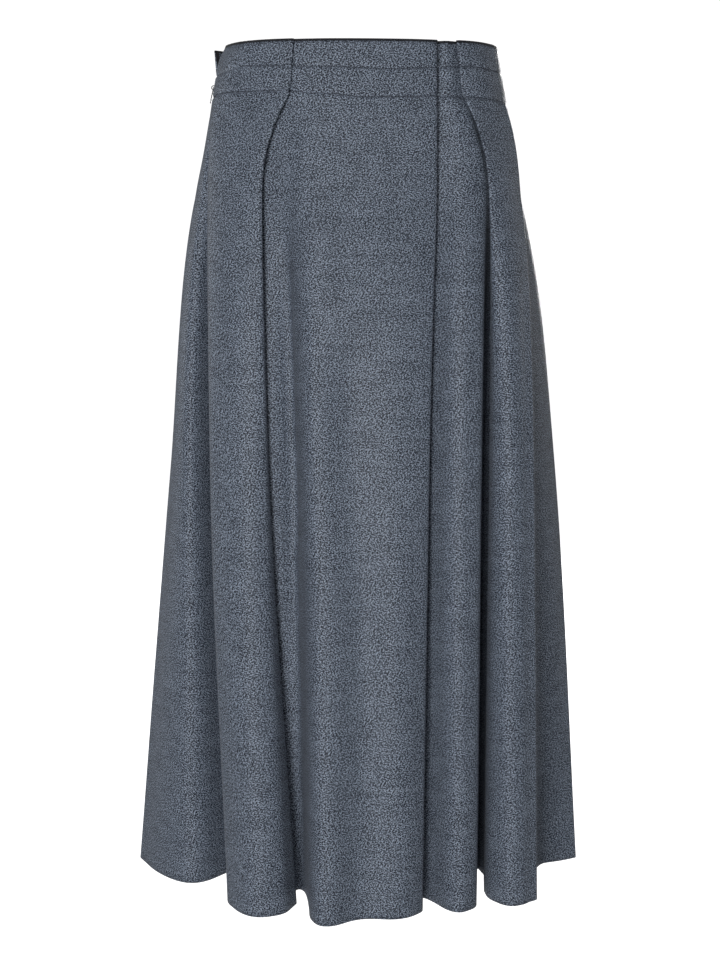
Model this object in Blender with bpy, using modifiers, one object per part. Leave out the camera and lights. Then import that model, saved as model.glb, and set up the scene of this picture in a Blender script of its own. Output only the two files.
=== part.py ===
"""A pleated midi skirt, open at the waist and the hem, standing as it does on a body.

The origin is the middle of the waist opening, level with the top edge. +Z is up, -Y is the side
with the three broad panels, and the zip is in the side seam at -X. All tables are in millimetres.
"""

import math

import bmesh
import bpy
import numpy as np
from mathutils import Matrix, Vector

MM = 0.001

# Driving sizes, in millimetres.
SKIRT_LENGTH = 800.0
CLOTH_THICKNESS = 1.4
SEAM_GAP = 0.3
SEAM_TURN = 3.0  # how far a panel runs square to its seam
EDGE_TAPE_HEIGHT = 1.8
EDGE_TAPE_THICKNESS = 2.2
OPEN_LENGTH = 32.0  # from the top edge down to the closed part of the zip
OPEN_WIDTH = 31.0  # how far the front's top corner has fallen away from the seam
CURL_WIDTH = 22.0  # stretch of the back's top corner that curls outwards
CURL_REACH = 11.0

ZIP_WIDTH = 18.0
ZIP_THICKNESS = 1.0
SLIDER_SIZE = (1.2, 4.2, 8.0)  # out from the cloth, along the hem, down the seam
SLIDER_GAP = 0.45  # between the slider and the cloth
PULL_TAB_LENGTH = 15.0  # from its turning axis to its tip
PULL_TAB_WIDTH = 4.4
PULL_TAB_THICKNESS = 0.7
BAR_HALF = 0.5  # half of the height of the tab's bar, which turns inside the bridge
BRIDGE_RADIUS = 1.9  # middle of the wire bridge, round the tab's turning axis
BRIDGE_WIRE = 0.8
AXIS_OFF_SLIDER = 1.0

CLOTH_COLOUR = (0.105, 0.122, 0.152, 1.0)
TAPE_COLOUR = (0.012, 0.013, 0.016, 1.0)
METAL_COLOUR = (0.06, 0.06, 0.065, 1.0)

# The heights at which the folds are given: top edge, lower stitched row, hip, thigh and hem.
LEVELS = (0.0, -50.0, -140.0, -400.0, -SKIRT_LENGTH)
STITCHED_ROW = 1
# The heights of the rings that the cloth is lofted through.
RINGS = (0, -14, -34, -50, -66, -92, -140, -175, -212, -262, -325, -400, -530, -665, -800)
ZIP_RINGS = RINGS[2:9]  # the closed zip runs over these

SOFT = 0.5  # a corner rounded over half of each neighbouring stretch
CRISP = 2.2  # a pressed edge, rounded over this many millimetres
ROLLED = 8.0  # an edge that rolls over, rounded over this many millimetres
RELEASE = 2.2  # a pressed fold leaves the stitched rows this much faster than it goes on
HIP_ROW = 2  # below this level the skirt flares fastest
HIP_FLARE = 0.8

# A row for each fold line of the front, from the zip's seam round to the other one:
# its rounding, then its place (x, y) at each of the five levels.
FRONT_FOLDS = {
    "zip seam": (SOFT, (-128.0, 0.0), (-139.5, 0.0), (-156.5, 0.0), (-185.5, 0.0), (-223.0, 0.0)),
    "left side": (SOFT, (-130.5, -14), (-142.5, -16), (-157, -20), (-178.0, -42), (-198.0, -50)),
    "left side, inner": (SOFT, (-126, -24), (-138, -30), (-149, -42), (-160, -62), (-160, -80)),
    "left valley": (CRISP, (-124, -31), (-135.5, -38), (-140, -41), (-136, -24), (-127, -38)),
    "left corner": (ROLLED, (-121, -40), (-134, -47), (-141, -62), (-138, -106), (-125.5, -120)),
    "left shoulder": (SOFT, (-110, -60), (-122, -64), (-130, -78), (-124, -120), (-110, -148)),
    "left face": (SOFT, (-88, -76), (-94, -81), (-110, -92), (-104, -131), (-92, -157)),
    "left edge": (ROLLED, (-60, -83.5), (-64, -90), (-89, -99), (-86, -127), (-70, -147)),
    "left edge, under": (CRISP, (-60.5, -81.2), (-64.5, -87.7), (-89.5, -94.5), (-83, -117), (-60, -122)),
    "left tuck": (CRISP, (-84, -74), (-88, -79.2), (-107, -86), (-98, -113.5), (-63, -103)),
    "left tuck, under": (CRISP, (-84, -71.6), (-88, -76.8), (-106, -80), (-96, -107), (-62, -89)),
    "left underlay": (SOFT, (-66, -77), (-70, -83), (-84, -86), (-77, -108), (-57, -86)),
    "centre valley": (SOFT, (-52, -80.7), (-55, -88.3), (-66, -93), (-60, -100), (-51, -96)),
    "centre wall": (SOFT, (-44, -81.5), (-48, -89.5), (-58, -100), (-54.5, -124), (-47, -132)),
    "centre start": (SOFT, (-38, -82.5), (-42, -91), (-50, -104), (-47, -142), (-46, -161)),
    "centre shoulder": (SOFT, (-28, -83.5), (-32, -92), (-38, -107), (-35, -147), (-33, -181)),
    "centre face": (SOFT, (4, -83.5), (2, -91.5), (2, -106), (6, -142), (2, -163)),
    "centre right": (SOFT, (42, -80), (42, -88), (42, -102), (40, -139), (42, -157)),
    "centre edge": (ROLLED, (69.5, -73.5), (69.8, -81), (69.5, -94), (62.5, -130), (58.5, -142)),
    "centre edge, under": (CRISP, (69.5, -69.5), (69.6, -77), (69, -89), (62, -123), (57.5, -132)),
    "right tuck": (CRISP, (46, -72), (46, -79), (46, -89), (48, -118), (49, -123)),
    "right tuck, under": (CRISP, (46, -68), (46, -75), (46, -83), (48, -108), (50, -110)),
    "billow start": (SOFT, (70, -62), (70, -70), (72, -81), (64, -108), (63, -106)),
    "billow": (SOFT, (78, -66.5), (81, -74), (92, -91), (85, -139), (88, -150)),
    "billow end": (ROLLED, (87, -60), (92, -67.5), (113, -83), (111, -127), (109, -132)),
    "slot": (SOFT, (95, -54), (101, -60.5), (119, -72), (108, -80), (112, -44)),
    "slot floor": (CRISP, (106, -51), (112, -57), (128, -61), (117, -56), (118, -32)),
    "slot wall": (CRISP, (106, -55.5), (112, -61.5), (130, -67), (123, -68), (123, -50)),
    "right edge, under": (CRISP, (88.5, -66.5), (94.5, -74), (118.5, -84.5), (120, -100), (120, -92)),
    "right edge": (ROLLED, (88, -70.5), (94, -78), (118, -89), (122.5, -115), (122, -110)),
    "right face": (SOFT, (101, -65), (109, -72), (129, -84), (134.5, -127), (138, -130)),
    "right shoulder": (SOFT, (113, -53), (123.5, -60), (141, -71), (148, -121), (153, -126)),
    "right corner": (CRISP, (122, -38), (132, -44), (149, -55), (160, -110), (167.5, -113)),
    "right valley": (SOFT, (126, -27), (136, -30), (150, -36), (158, -60), (173, -22)),
    "right side": (SOFT, (128.5, -13), (138, -14), (153, -18), (182, -30), (203, -12)),
    "right seam": (SOFT, (129, 0.0), (138, 0.0), (153, 0.0), (191, 0.0), (219, 0.0)),
}

# The same for one half of the back, from the side seam to the middle of the back.
BACK_FOLDS = {
    "side": (SOFT, (128.5, 13), (138.5, 16), (154, 22), (184, 40), (208, 42)),
    "side, inner": (SOFT, (126, 26), (136.5, 30), (149, 42), (162, 68), (166, 74)),
    "valley": (SOFT, (123, 35), (134, 40), (143, 54), (146, 78), (142, 66)),
    "corner": (SOFT, (120, 42), (131, 47), (140, 66), (145, 102), (139, 124)),
    "shoulder": (SOFT, (108, 60), (118, 66), (127, 86), (130, 124), (124, 153)),
    "face": (SOFT, (92, 71), (98, 79), (109, 98), (108, 136), (102, 160)),
    "edge": (ROLLED, (66, 80.5), (70, 89), (85, 109), (86, 141), (77, 160)),
    "edge, under": (CRISP, (66.5, 76.5), (70.5, 85), (85.5, 104), (86.5, 135), (72, 148)),
    "tuck": (CRISP, (88, 69), (92, 75), (104, 93), (99, 124), (73, 122)),
    "tuck, under": (CRISP, (88, 65), (92, 71), (103, 88), (97, 117), (70, 98)),
    "underlay": (SOFT, (64, 70), (67, 78), (76, 96), (76, 124), (62, 96)),
    "centre tuck, under": (CRISP, (38, 73), (42, 81), (50, 100), (58, 127), (54, 100)),
    "centre tuck": (CRISP, (38, 77), (42, 85), (49, 105), (56, 131), (52, 118)),
    "centre edge, under": (CRISP, (64, 77), (67, 85), (63, 107), (53, 137), (50, 146)),
    "centre edge": (ROLLED, (64, 81), (67, 89), (62, 111), (49, 144), (47, 164)),
    "centre face": (SOFT, (34, 86), (36, 95), (36, 117), (33, 149), (32, 184)),
}
BACK_MIDDLE = (SOFT, (0, 87), (0, 96), (0, 117), (0, 146), (0, 168))
BACK_LEAN = 9.0  # how far the back's folds lean sideways at the hem

# The fold lines that the narrow tape on the top edge passes: the ones that show from outside.
TAPE_SKIPS = ("tuck", "under", "slot")


def clear_scene():
    """Removes every object that a new file starts with."""
    for obj in list(bpy.data.objects):
        bpy.data.objects.remove(obj, do_unlink=True)


def material(name, colour, roughness, metallic=0.0):
    """A plain Principled material."""
    made = bpy.data.materials.new(name)
    made.use_nodes = True
    shader = made.node_tree.nodes["Principled BSDF"]
    shader.inputs["Base Color"].default_value = colour
    shader.inputs["Roughness"].default_value = roughness
    shader.inputs["Metallic"].default_value = metallic
    return made


def add_object(name, mesh, collection, finish):
    """An object of the mesh, with one material, in the collection."""
    obj = bpy.data.objects.new(name, mesh)
    mesh.materials.clear()
    mesh.materials.append(finish)
    collection.objects.link(obj)
    return obj


def slopes(heights, values):
    """Slopes at the levels that let a smooth curve through them rise and fall only where they do."""
    steps = np.diff(heights)
    rises = np.diff(values, axis=0) / steps[:, None]
    found = np.zeros_like(values)
    found[0], found[-1] = rises[0], rises[-1]
    for i in range(1, len(heights) - 1):
        before, after = rises[i - 1], rises[i]
        same_way = before * after > 0
        total = np.where(same_way, before + after, 1.0)
        found[i] = np.where(same_way, 2 * before * after / total, 0.0)
    return found


def at_height(row, height):
    """Where a fold line stands at this height, on a smooth curve through its places at the levels."""
    heights = -np.array(LEVELS)
    values = np.array(row[1:], float)
    depth = -height
    i = int(np.clip(np.searchsorted(heights, depth, side="right") - 1, 0, len(heights) - 2))
    step = heights[i + 1] - heights[i]
    u = (depth - heights[i]) / step
    if i == HIP_ROW:
        u += HIP_FLARE * u * (1 - u) ** 2
    slope = slopes(heights, values)
    if row[0] != SOFT and i == STITCHED_ROW:
        slope[i] = RELEASE * (values[i + 1] - values[i]) / step
    return (
        (2 * u**3 - 3 * u**2 + 1) * values[i]
        + (u**3 - 2 * u**2 + u) * step * slope[i]
        + (3 * u**2 - 2 * u**3) * values[i + 1]
        + (u**3 - u**2) * step * slope[i + 1]
    )


def rounded(corners, roundings):
    """The line through the corners, with each one rounded on two points."""
    line = [corners[0]]
    for before, corner, after, rounding in zip(corners, corners[1:], corners[2:], roundings[1:]):
        soft = rounding == SOFT
        ends = []
        for other in (before, after):
            length = np.linalg.norm(other - corner)
            reach = 0.5 * length if soft else min(rounding, 0.4 * length)
            ends.append(corner + (other - corner) * reach / length)
        for u in (0.1, 0.9) if rounding == CRISP else (0.25, 0.75):
            line.append((1 - u) ** 2 * ends[0] + 2 * u * (1 - u) * corner + u**2 * ends[1])
    line.append(corners[-1])
    return np.array(line)


def trimmed(line, cut):
    """The line with this much of its start cut off, on the same number of points."""
    lengths = np.concatenate([[0], np.cumsum(np.linalg.norm(np.diff(line, axis=0), axis=1))])
    kept = np.maximum(lengths, cut + (lengths / lengths[-1]) * 6)
    blend = np.searchsorted(lengths, 2 * cut + 12)
    kept[blend:] = lengths[blend:]
    return np.column_stack([np.interp(kept, lengths, line[:, axis]) for axis in (0, 1)])


def fallen(height):
    """From 1 at the top edge to 0 at the closed part of the zip."""
    return max(0.0, 1.0 + height / OPEN_LENGTH)


def folded_line(rows, height, side):
    """The line through the rows' folds at this height. Its ends meet the seams square, side on Y."""
    corners = [at_height(row, height) for row in rows]
    roundings = [row[0] for row in rows]
    square = np.array([0.0, side * SEAM_TURN])
    corners = [corners[0], corners[0] + square, *corners[1:-1], corners[-1] + square, corners[-1]]
    line = rounded(corners, [CRISP, CRISP, *roundings[1:-1], CRISP, CRISP])
    line[[0, -1], 1] += side * SEAM_GAP / 2
    return line


def front_section(height, folds=None):
    """The front's line at this height, from the zip's seam to the other one."""
    line = folded_line(folds or list(FRONT_FOLDS.values()), height, -1)
    return trimmed(line, OPEN_WIDTH * fallen(height) ** 1.4) if fallen(height) else line


def back_rows():
    """The back's folds, from the seam at +X round to the zip's seam."""
    half = list(BACK_FOLDS.values())
    right = [FRONT_FOLDS["right seam"]] + half
    mirrored = [(row[0], *[(-x, y) for x, y in row[1:]]) for row in reversed(half)]
    return right + [BACK_MIDDLE] + mirrored + [FRONT_FOLDS["zip seam"]]


def back_section(height, folds=None):
    """The back's line at this height, leaning a little and curling out at the zip's top."""
    line = folded_line(folds or back_rows(), height, 1)
    share = np.clip((line[:, 1] - 10.0) / 60.0, 0.0, 1.0) * (height / SKIRT_LENGTH) ** 2
    line[:, 0] += BACK_LEAN * share * np.cos(line[:, 0] / 45.0)
    from_end = np.linalg.norm(line - line[-1], axis=1)
    curl = np.clip(1 - from_end / CURL_WIDTH, 0, 1) ** 2 * (line[:, 0] < 0) * fallen(height)
    line[:, 0] -= CURL_REACH * curl
    line[:, 1] += 0.6 * CURL_REACH * curl
    return line


def loft(name, lines, heights, thickness, collection, finish):
    """A wall through the lines, one at each height, with its middle on them."""
    mesh = bpy.data.meshes.new(name)
    build = bmesh.new()
    grid = [
        [build.verts.new((x * MM, y * MM, z * MM)) for x, y in line]
        for line, z in zip(lines, heights)
    ]
    for upper, lower in zip(grid, grid[1:]):
        for i in range(len(upper) - 1):
            build.faces.new((upper[i], lower[i], lower[i + 1], upper[i + 1]))
    build.to_mesh(mesh)
    build.free()
    obj = add_object(name, mesh, collection, finish)
    wall = obj.modifiers.new("Wall", "SOLIDIFY")
    wall.thickness = thickness * MM
    wall.offset = 0.0
    return obj


def build_cloth(collection, finish):
    """The front and the back, each one pleated wall from the top edge to the hem."""
    top = -(EDGE_TAPE_HEIGHT + SEAM_GAP)
    heights = [float(top)] + [float(z) for z in RINGS[1:]]
    for name, section in (("front_panel", front_section), ("back_panel", back_section)):
        lines = [section(z) for z in heights]
        loft(name, lines, heights, CLOTH_THICKNESS, collection, finish)


def build_edge_tape(collection, finish):
    """The narrow dark tape that finishes the top edge, along what shows of the pleats."""
    def shown(rows):
        return [row for name, row in rows if not any(skip in name for skip in TAPE_SKIPS)]

    back = list(BACK_FOLDS.items())
    right = [("seam", FRONT_FOLDS["right seam"])] + back
    left = [(name, (row[0], *[(-x, y) for x, y in row[1:]])) for name, row in reversed(back)]
    whole_back = right + [("middle", BACK_MIDDLE)] + left + [("seam", FRONT_FOLDS["zip seam"])]
    heights = (0.0, -EDGE_TAPE_HEIGHT)
    for name, section, rows in (
        ("front_edge_tape", front_section, shown(FRONT_FOLDS.items())),
        ("back_edge_tape", back_section, shown(whole_back)),
    ):
        lines = [section(z, rows) for z in heights]
        loft(name, lines, heights, EDGE_TAPE_THICKNESS, collection, finish)


def seam_frame(height):
    """A frame on the zip's seam: +X runs out from the cloth, +Z up along the seam."""
    upper = at_height(FRONT_FOLDS["zip seam"], height + 8)
    lower = at_height(FRONT_FOLDS["zip seam"], height - 8)
    up = Vector((upper[0] - lower[0], 0, 16)).normalized()
    out = Vector((-up.z, 0, up.x))
    across = up.cross(out)
    here = at_height(FRONT_FOLDS["zip seam"], height)
    turned = Matrix((out, across, up)).transposed().to_4x4()
    return Matrix.Translation(Vector((here[0], 0, height)) * MM) @ turned


def build_zip_tape(collection, finish):
    """The closed zip inside the seam: a strip across both edges, clear of the cloth."""
    inset = CLOTH_THICKNESS / 2 + SEAM_GAP + ZIP_THICKNESS / 2 + 0.3
    heights = [float(z) for z in ZIP_RINGS]
    lines = []
    for z in heights:
        front, back = front_section(z), back_section(z)
        path = np.concatenate([front[3::-1], back[:-5:-1]])
        path[:, 0] += inset
        reach = ZIP_WIDTH / 2
        across = np.linspace(-reach, reach, 7)
        lines.append(np.column_stack([np.interp(across, path[:, 1], path[:, 0]), across]))
    loft("zip_tape", lines, heights, ZIP_THICKNESS, collection, finish)


def build_slider(collection, finish):
    """The zip's slider on the outside of the seam, with the wire bridge that holds the tab."""
    deep, wide, tall = SLIDER_SIZE
    frame = seam_frame(-(OPEN_LENGTH + tall / 2))
    stand_off = CLOTH_THICKNESS / 2 + SLIDER_GAP
    body = bmesh.new()
    bmesh.ops.create_cube(body, size=1.0)
    bmesh.ops.scale(body, verts=body.verts, vec=Vector((deep, wide, tall)) * MM)
    for vert in body.verts:
        if vert.co.z < 0:
            vert.co.y *= 0.7
    bmesh.ops.translate(body, verts=body.verts, vec=Vector((stand_off + deep / 2, 0, 0)) * MM)
    bmesh.ops.bevel(
        body, geom=body.edges[:], offset=0.5 * MM, segments=2, affect="EDGES", profile=0.5
    )
    mesh = bpy.data.meshes.new("zip_slider")
    body.to_mesh(mesh)
    body.free()
    slider = add_object("zip_slider", mesh, collection, finish)
    slider.matrix_world = frame

    face = stand_off + deep
    axis = face + AXIS_OFF_SLIDER
    wire = bpy.data.curves.new("bridge", "CURVE")
    wire.dimensions = "3D"
    wire.bevel_depth = BRIDGE_WIRE / 2 * MM
    wire.bevel_resolution = 2
    wire.use_fill_caps = True
    turns = [math.pi / 2 - math.pi * i / 10 for i in range(11)]
    arc = [(axis + BRIDGE_RADIUS * math.cos(a), BRIDGE_RADIUS * math.sin(a)) for a in turns]
    path = [(face - 0.8, BRIDGE_RADIUS)] + arc + [(face - 0.8, -BRIDGE_RADIUS)]
    spline = wire.splines.new("POLY")
    spline.points.add(len(path) - 1)
    for point, (out, up) in zip(spline.points, path):
        point.co = (out * MM, 0, up * MM, 1)
    loop = bpy.data.objects.new("bridge", wire)
    collection.objects.link(loop)
    loop.matrix_world = frame
    bpy.context.view_layer.update()
    solid = bpy.data.meshes.new_from_object(
        loop.evaluated_get(bpy.context.evaluated_depsgraph_get())
    )
    joined = bmesh.new()
    joined.from_mesh(solid)
    bmesh.ops.remove_doubles(joined, verts=joined.verts, dist=0.00001)
    joined.to_mesh(solid)
    joined.free()
    bridge = bpy.data.objects.new("slider_bridge", solid)
    bridge.matrix_world = frame
    bpy.data.objects.remove(loop, do_unlink=True)
    bridge.hide_render = True
    bridge.display_type = "WIRE"
    cutters = bpy.data.collections.new("cutters")
    bpy.context.scene.collection.children.link(cutters)
    cutters.objects.link(bridge)
    union = slider.modifiers.new("Bridge", "BOOLEAN")
    union.operation = "UNION"
    union.object = bridge
    return frame, axis


def build_pull_tab(collection, finish, frame, axis):
    """The drop-shaped tab, with the eye that the bridge passes through. Its origin is on its axis."""
    half = PULL_TAB_WIDTH / 2
    outline = [(-1.9, BAR_HALF - 0.6), (-1.4, BAR_HALF), (1.4, BAR_HALF), (1.9, BAR_HALF - 0.6)]
    turns = [math.pi * i / 12 for i in range(13)]
    low = -(PULL_TAB_LENGTH - half)
    outline += [(half * math.cos(a), low - half * math.sin(a)) for a in turns]
    eye_low = -(BRIDGE_RADIUS + BRIDGE_WIRE / 2 + 0.7)
    eye = [(-1.0, -BAR_HALF), (-1.0, eye_low), (1.0, eye_low), (1.0, -BAR_HALF)]
    plate = bpy.data.curves.new("zip_pull_tab", "CURVE")
    plate.dimensions = "2D"
    plate.fill_mode = "BOTH"
    plate.extrude = PULL_TAB_THICKNESS / 2 * MM
    for points in (outline, eye):
        spline = plate.splines.new("POLY")
        spline.points.add(len(points) - 1)
        spline.use_cyclic_u = True
        for point, (x, y) in zip(spline.points, points):
            point.co = (x * MM, y * MM, 0, 1)
    holder = bpy.data.objects.new("plate", plate)
    collection.objects.link(holder)
    bpy.context.view_layer.update()
    mesh = bpy.data.meshes.new_from_object(
        holder.evaluated_get(bpy.context.evaluated_depsgraph_get())
    )
    bpy.data.objects.remove(holder, do_unlink=True)
    joined = bmesh.new()
    joined.from_mesh(mesh)
    bmesh.ops.remove_doubles(joined, verts=joined.verts, dist=0.00001)
    # The plate's own x runs along the hem, its y up the seam and its z out from the cloth.
    bmesh.ops.transform(
        joined, matrix=Matrix(((0, 0, 1, 0), (1, 0, 0, 0), (0, 1, 0, 0), (0, 0, 0, 1))),
        verts=joined.verts,
    )
    joined.to_mesh(mesh)
    joined.free()
    tab = add_object("zip_pull_tab", mesh, collection, finish)
    tab.matrix_world = frame @ Matrix.Translation(Vector((axis, 0, 0)) * MM)
    return tab


def main():
    clear_scene()
    skirt = bpy.data.collections.new("pleated_midi_skirt")
    bpy.context.scene.collection.children.link(skirt)
    cloth = material("wool_flannel", CLOTH_COLOUR, 0.9)
    tape = material("dark_tape", TAPE_COLOUR, 0.8)
    metal = material("dark_metal", METAL_COLOUR, 0.4, 0.8)
    build_cloth(skirt, cloth)
    build_edge_tape(skirt, tape)
    build_zip_tape(skirt, tape)
    frame, axis = build_slider(skirt, metal)
    tab = build_pull_tab(skirt, metal, frame, axis)
    print("pull tab axis at", [round(v, 5) for v in tab.matrix_world.translation])


main()
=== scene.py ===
# %% [markdown]
# A pleated midi skirt in melange wool flannel, filled out as it is when worn.
#
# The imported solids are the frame: two pleated walls, the narrow tape on the top edge and a
# concealed zip with its slider and pull tab. They hold the sizes. This file gives them their
# looks, one piece at a time. Lengths in the tables are millimetres, as on a paper pattern, and
# MM turns them into Blender's metres.

# %% The frame
import math

import bpy
import numpy as np
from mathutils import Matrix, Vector


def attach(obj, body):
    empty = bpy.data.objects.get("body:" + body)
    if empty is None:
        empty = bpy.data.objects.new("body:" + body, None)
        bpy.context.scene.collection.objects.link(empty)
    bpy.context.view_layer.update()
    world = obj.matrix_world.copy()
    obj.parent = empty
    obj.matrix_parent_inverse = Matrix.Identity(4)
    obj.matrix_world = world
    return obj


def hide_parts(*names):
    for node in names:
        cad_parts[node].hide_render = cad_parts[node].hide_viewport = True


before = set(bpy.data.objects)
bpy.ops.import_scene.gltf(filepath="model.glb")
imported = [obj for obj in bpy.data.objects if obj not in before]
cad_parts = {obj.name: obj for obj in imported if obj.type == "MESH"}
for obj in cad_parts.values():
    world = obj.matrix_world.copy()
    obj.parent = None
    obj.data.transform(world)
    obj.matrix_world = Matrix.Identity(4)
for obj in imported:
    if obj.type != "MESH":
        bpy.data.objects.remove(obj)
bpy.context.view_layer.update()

MM = 0.001

# %% [markdown]
# The camera stands a little below the waist, 1.6 m away, and looks down by eight degrees, so the
# hem's front edge shows lower than its sides. The lens is a short telephoto: 61 mm on a 36 mm
# sensor. It comes first, because everything after it is judged through it.

# %% Camera
CAMERA_PLACE = (0.0, -1.600, -0.193)
CAMERA_TILT = math.radians(7.92)
CAMERA_LENS = 61.1

camera_data = bpy.data.cameras.new("camera")
camera_data.lens = CAMERA_LENS
camera = bpy.data.objects.new("camera", camera_data)
camera.location = CAMERA_PLACE
camera.rotation_euler = (math.pi / 2 - CAMERA_TILT, 0, 0)
bpy.context.scene.collection.objects.link(camera)
bpy.context.scene.camera = camera
print("camera", CAMERA_PLACE, "lens", CAMERA_LENS)

# %% [markdown]
# Cloth is easiest to shape the way a pleater thinks of it: by its fold lines. Each row of the
# tables below is one fold line, running from the top edge to the hem, with its place seen from
# above at five heights. Between the heights a fold line is a smooth curve, and between fold lines
# the cloth is a rounded line: broad on a soft turn, tight on a pressed edge. These are the same
# folds as the solids have, so the fine cloth lies on them, apart from the small dips, troughs and
# ridges that come later.

# %% Fold lines
SKIRT_LENGTH = 800.0
LEVELS = (0.0, -50.0, -140.0, -400.0, -SKIRT_LENGTH)
STITCHED_ROW = 1  # pressed folds are released below this level
RELEASE = 2.2
HIP_ROW = 2  # below this level the skirt flares fastest
HIP_FLARE = 0.8
SOFT = 0.5  # the share of each neighbouring stretch that a soft turn takes
CRISP = 2.2  # reach of a pressed edge's rounding
ROLLED = 8.0  # reach of a fold that is rolled rather than pressed
SEAM_GAP = 0.3
SEAM_TURN = 3.0

FRONT_FOLDS = {
    "zip seam": (SOFT, (-128.0, 0.0), (-139.5, 0.0), (-156.5, 0.0), (-185.5, 0.0), (-223.0, 0.0)),
    "left side": (SOFT, (-130.5, -14), (-142.5, -16), (-157, -20), (-178.0, -42), (-198.0, -50)),
    "left side, inner": (SOFT, (-126, -24), (-138, -30), (-149, -42), (-160, -62), (-160, -80)),
    "left valley": (CRISP, (-124, -31), (-135.5, -38), (-140, -41), (-136, -24), (-127, -38)),
    "left corner": (ROLLED, (-121, -40), (-134, -47), (-141, -62), (-138, -106), (-125.5, -120)),
    "left shoulder": (SOFT, (-110, -60), (-122, -64), (-130, -78), (-124, -120), (-110, -148)),
    "left face": (SOFT, (-88, -76), (-94, -81), (-110, -92), (-104, -131), (-92, -157)),
    "left edge": (ROLLED, (-60, -83.5), (-64, -90), (-89, -99), (-86, -127), (-70, -147)),
    "left edge, under": (
        CRISP, (-60.5, -81.2), (-64.5, -87.7), (-89.5, -94.5), (-83, -117), (-60, -122),
    ),
    "left tuck": (CRISP, (-84, -74), (-88, -79.2), (-107, -86), (-98, -113.5), (-63, -103)),
    "left tuck, under": (CRISP, (-84, -71.6), (-88, -76.8), (-106, -80), (-96, -107), (-62, -89)),
    "left underlay": (SOFT, (-66, -77), (-70, -83), (-84, -86), (-77, -108), (-57, -86)),
    "centre valley": (SOFT, (-52, -80.7), (-55, -88.3), (-66, -93), (-60, -100), (-51, -96)),
    "centre wall": (SOFT, (-44, -81.5), (-48, -89.5), (-58, -100), (-54.5, -124), (-47, -132)),
    "centre start": (SOFT, (-38, -82.5), (-42, -91), (-50, -104), (-47, -142), (-46, -161)),
    "centre shoulder": (SOFT, (-28, -83.5), (-32, -92), (-38, -107), (-35, -147), (-33, -181)),
    "centre face": (SOFT, (4, -83.5), (2, -91.5), (2, -106), (6, -142), (2, -163)),
    "centre right": (SOFT, (42, -80), (42, -88), (42, -102), (40, -139), (42, -157)),
    "centre edge": (ROLLED, (69.5, -73.5), (69.8, -81), (69.5, -94), (62.5, -130), (58.5, -142)),
    "centre edge, under": (CRISP, (69.5, -69.5), (69.6, -77), (69, -89), (62, -123), (57.5, -132)),
    "right tuck": (CRISP, (46, -72), (46, -79), (46, -89), (48, -118), (49, -123)),
    "right tuck, under": (CRISP, (46, -68), (46, -75), (46, -83), (48, -108), (50, -110)),
    "billow start": (SOFT, (70, -62), (70, -70), (72, -81), (64, -108), (63, -106)),
    "billow": (SOFT, (78, -66.5), (81, -74), (92, -91), (85, -139), (88, -150)),
    "billow end": (ROLLED, (87, -60), (92, -67.5), (113, -83), (111, -127), (109, -132)),
    "slot": (SOFT, (95, -54), (101, -60.5), (119, -72), (108, -80), (112, -44)),
    "slot floor": (CRISP, (106, -51), (112, -57), (128, -61), (117, -56), (118, -32)),
    "slot wall": (CRISP, (106, -55.5), (112, -61.5), (130, -67), (123, -68), (123, -50)),
    "right edge, under": (
        CRISP, (88.5, -66.5), (94.5, -74), (118.5, -84.5), (120, -100), (120, -92),
    ),
    "right edge": (ROLLED, (88, -70.5), (94, -78), (118, -89), (122.5, -115), (122, -110)),
    "right face": (SOFT, (101, -65), (109, -72), (129, -84), (134.5, -127), (138, -130)),
    "right shoulder": (SOFT, (113, -53), (123.5, -60), (141, -71), (148, -121), (153, -126)),
    "right corner": (CRISP, (122, -38), (132, -44), (149, -55), (160, -110), (167.5, -113)),
    "right valley": (SOFT, (126, -27), (136, -30), (150, -36), (158, -60), (173, -22)),
    "right side": (SOFT, (128.5, -13), (138, -14), (153, -18), (182, -30), (203, -12)),
    "right seam": (SOFT, (129, 0.0), (138, 0.0), (153, 0.0), (191, 0.0), (219, 0.0)),
}
BACK_FOLDS = {
    "side": (SOFT, (128.5, 13), (138.5, 16), (154, 22), (184, 40), (208, 42)),
    "side, inner": (SOFT, (126, 26), (136.5, 30), (149, 42), (162, 68), (166, 74)),
    "valley": (SOFT, (123, 35), (134, 40), (143, 54), (146, 78), (142, 66)),
    "corner": (SOFT, (120, 42), (131, 47), (140, 66), (145, 102), (139, 124)),
    "shoulder": (SOFT, (108, 60), (118, 66), (127, 86), (130, 124), (124, 153)),
    "face": (SOFT, (92, 71), (98, 79), (109, 98), (108, 136), (102, 160)),
    "edge": (ROLLED, (66, 80.5), (70, 89), (85, 109), (86, 141), (77, 160)),
    "edge, under": (CRISP, (66.5, 76.5), (70.5, 85), (85.5, 104), (86.5, 135), (72, 148)),
    "tuck": (CRISP, (88, 69), (92, 75), (104, 93), (99, 124), (73, 122)),
    "tuck, under": (CRISP, (88, 65), (92, 71), (103, 88), (97, 117), (70, 98)),
    "underlay": (SOFT, (64, 70), (67, 78), (76, 96), (76, 124), (62, 96)),
    "centre tuck, under": (CRISP, (38, 73), (42, 81), (50, 100), (58, 127), (54, 100)),
    "centre tuck": (CRISP, (38, 77), (42, 85), (49, 105), (56, 131), (52, 118)),
    "centre edge, under": (CRISP, (64, 77), (67, 85), (63, 107), (53, 137), (50, 146)),
    "centre edge": (ROLLED, (64, 81), (67, 89), (62, 111), (49, 144), (47, 164)),
    "centre face": (SOFT, (34, 86), (36, 95), (36, 117), (33, 149), (32, 184)),
}
BACK_MIDDLE = (SOFT, (0, 87), (0, 96), (0, 117), (0, 146), (0, 168))


def mirrored(row):
    """The same fold line on the other side of the skirt."""
    return (row[0], *[(-x, y) for x, y in row[1:]])


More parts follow.
